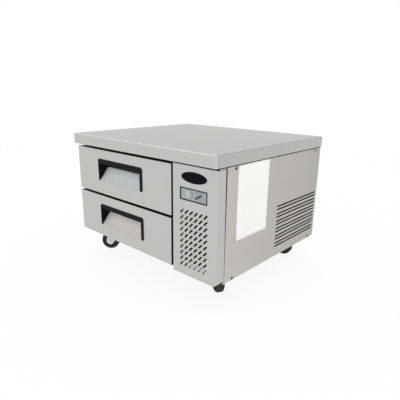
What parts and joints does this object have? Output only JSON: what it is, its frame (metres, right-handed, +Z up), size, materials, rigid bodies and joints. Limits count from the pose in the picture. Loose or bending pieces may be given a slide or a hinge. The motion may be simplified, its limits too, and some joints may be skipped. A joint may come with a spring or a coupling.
{
  "type": "refrigerated chef base",
  "caption": "Low refrigerated cabinet with sliding food-pan drawers, a flat worktop, a slotted machine compartment and swivel casters.",
  "frame": {"origin": "on the floor, under the middle of the worktop", "axes": "+X to the right seen from the front, +Y to the back, +Z up; the drawers open towards -Y"},
  "size_m": [0.92, 0.816, 0.6355],
  "materials": {
    "worktop_steel": "brushed",
    "front_steel": "brushed",
    "panel_steel": "brushed",
    "cover_steel": "brushed",
    "inner_steel": "satin",
    "shell_steel": "satin",
    "foam": "matte",
    "drawer_liner": "satin",
    "handle_black": "satin",
    "seal_rubber": "matte",
    "slide_zinc": "zinc plated",
    "frame_black": "satin",
    "screw_steel": "blackened",
    "badge_black": "gloss",
    "bezel_black": "satin",
    "plate_grey": "satin",
    "lens_green": "gloss",
    "dial_grey": "satin",
    "compressor_black": "painted",
    "coil_aluminium": "satin",
    "shroud_zinc": "zinc plated",
    "motor_black": "painted",
    "fan_plastic": "satin",
    "line_copper": "satin",
    "box_grey": "satin",
    "caster_zinc": "zinc plated",
    "wheel_black": "matte"
  },
  "bodies": {
    "cabinet": {"worktop": "worktop_steel", "worktop_core": "foam", "outer_shell": "shell_steel", "insulation": "foam", "liner": "inner_steel", "face_frame": "inner_steel", "machine_base": "shroud_zinc", "machine_frame": "frame_black", "machine_cover": "cover_steel", "filter_rail": "shroud_zinc", "side_panel": "panel_steel", "back_panel": "shell_steel", "panel_screws": "screw_steel", "badge": "badge_black", "control_bezel": "bezel_black", "control_plate": "plate_grey", "display_lens": "lens_green", "compressor": "compressor_black", "compressor_feet": "seal_rubber", "condenser_coil": "coil_aluminium", "condenser_shroud": "shroud_zinc", "condenser_fan_motor": "motor_black", "refrigerant_lines": "line_copper", "electrical_box": "box_grey", "evaporator_coil": "coil_aluminium", "evaporator_cover": "inner_steel", "evaporator_fan_motor": "motor_black", "cord_gland": "bezel_black", "caster_plates": "caster_zinc", "upper_fixed_slides": "slide_zinc", "lower_fixed_slides": "slide_zinc"},
    "upper_drawer": {"upper_front_skin": "front_steel", "upper_inner_panel": "drawer_liner", "upper_gasket": "seal_rubber", "upper_handle_grip": "handle_black", "upper_handle_plate": "front_steel", "upper_pan_frame": "inner_steel", "upper_drawer_slides": "slide_zinc"},
    "upper_left_middle_slide": {"upper_left_middle_slide": "slide_zinc"},
    "upper_right_middle_slide": {"upper_right_middle_slide": "slide_zinc"},
    "lower_drawer": {"lower_front_skin": "front_steel", "lower_inner_panel": "drawer_liner", "lower_gasket": "seal_rubber", "lower_handle_grip": "handle_black", "lower_handle_plate": "front_steel", "lower_pan_frame": "inner_steel", "lower_drawer_slides": "slide_zinc"},
    "lower_left_middle_slide": {"lower_left_middle_slide": "slide_zinc"},
    "lower_right_middle_slide": {"lower_right_middle_slide": "slide_zinc"},
    "thermostat_knob": {"thermostat_knob": "dial_grey"},
    "condenser_fan": {"condenser_fan": "fan_plastic"},
    "evaporator_fan": {"evaporator_fan": "fan_plastic"},
    "front_left_fork": {"front_left_fork": "caster_zinc"},
    "front_left_wheel": {"front_left_wheel": "wheel_black"},
    "front_right_fork": {"front_right_fork": "caster_zinc"},
    "front_right_wheel": {"front_right_wheel": "wheel_black"},
    "rear_left_fork": {"rear_left_fork": "caster_zinc"},
    "rear_left_wheel": {"rear_left_wheel": "wheel_black"},
    "rear_right_fork": {"rear_right_fork": "caster_zinc"},
    "rear_right_wheel": {"rear_right_wheel": "wheel_black"}
  },
  "joints": [
    {"name": "upper_drawer_slide", "type": "slide", "parent": "cabinet", "child": "upper_drawer", "axis": [0, -1, 0], "range_m": [0, 0.48]},
    {"name": "upper_left_middle_travel", "type": "slide", "parent": "cabinet", "child": "upper_left_middle_slide", "axis": [0, -1, 0], "range_m": [0, 0.24]},
    {"name": "upper_right_middle_travel", "type": "slide", "parent": "cabinet", "child": "upper_right_middle_slide", "axis": [0, -1, 0], "range_m": [0, 0.24]},
    {"name": "lower_drawer_slide", "type": "slide", "parent": "cabinet", "child": "lower_drawer", "axis": [0, -1, 0], "range_m": [0, 0.48]},
    {"name": "lower_left_middle_travel", "type": "slide", "parent": "cabinet", "child": "lower_left_middle_slide", "axis": [0, -1, 0], "range_m": [0, 0.24]},
    {"name": "lower_right_middle_travel", "type": "slide", "parent": "cabinet", "child": "lower_right_middle_slide", "axis": [0, -1, 0], "range_m": [0, 0.24]},
    {"name": "thermostat_turn", "type": "hinge", "parent": "cabinet", "child": "thermostat_knob", "pos_m": [0.3637, -0.385, 0.4647], "axis": [0, 1, 0], "range_deg": [-130, 130]},
    {"name": "condenser_fan_spin", "type": "hinge", "parent": "cabinet", "child": "condenser_fan", "pos_m": [0.338, -0.244, 0.2855], "axis": [0, 1, 0], "continuous": true},
    {"name": "evaporator_fan_spin", "type": "hinge", "parent": "cabinet", "child": "evaporator_fan", "pos_m": [-0.118, 0.276, 0.4455], "axis": [0, 1, 0], "continuous": true},
    {"name": "front_left_swivel", "type": "hinge", "parent": "cabinet", "child": "front_left_fork", "pos_m": [-0.3685, -0.2463, 0.1055], "axis": [0, 0, 1], "continuous": true},
    {"name": "front_left_roll", "type": "hinge", "parent": "front_left_fork", "child": "front_left_wheel", "pos_m": [-0.39453, -0.26738, 0.047], "axis": [0.6293, -0.7771, 0], "continuous": true},
    {"name": "front_right_swivel", "type": "hinge", "parent": "cabinet", "child": "front_right_fork", "pos_m": [0.3685, -0.2463, 0.1055], "axis": [0, 0, 1], "continuous": true},
    {"name": "front_right_roll", "type": "hinge", "parent": "front_right_fork", "child": "front_right_wheel", "pos_m": [0.33892, -0.23057, 0.047], "axis": [-0.4695, -0.8829, 0], "continuous": true},
    {"name": "rear_left_swivel", "type": "hinge", "parent": "cabinet", "child": "rear_left_fork", "pos_m": [-0.3685, 0.3346, 0.1055], "axis": [0, 0, 1], "continuous": true},
    {"name": "rear_left_roll", "type": "hinge", "parent": "rear_left_fork", "child": "rear_left_wheel", "pos_m": [-0.39594, 0.31539, 0.047], "axis": [0.5736, -0.8192, 0], "continuous": true},
    {"name": "rear_right_swivel", "type": "hinge", "parent": "cabinet", "child": "rear_right_fork", "pos_m": [0.3685, 0.3346, 0.1055], "axis": [0, 0, 1], "continuous": true},
    {"name": "rear_right_roll", "type": "hinge", "parent": "rear_right_fork", "child": "rear_right_wheel", "pos_m": [0.33518, 0.3311, 0.047], "axis": [0.1045, -0.9945, 0], "continuous": true}
  ],
  "couplings": [
    {"joint": "upper_left_middle_travel", "follows": "upper_drawer_slide", "ratio": 0.5},
    {"joint": "upper_right_middle_travel", "follows": "upper_drawer_slide", "ratio": 0.5},
    {"joint": "lower_left_middle_travel", "follows": "lower_drawer_slide", "ratio": 0.5},
    {"joint": "lower_right_middle_travel", "follows": "lower_drawer_slide", "ratio": 0.5}
  ]
}
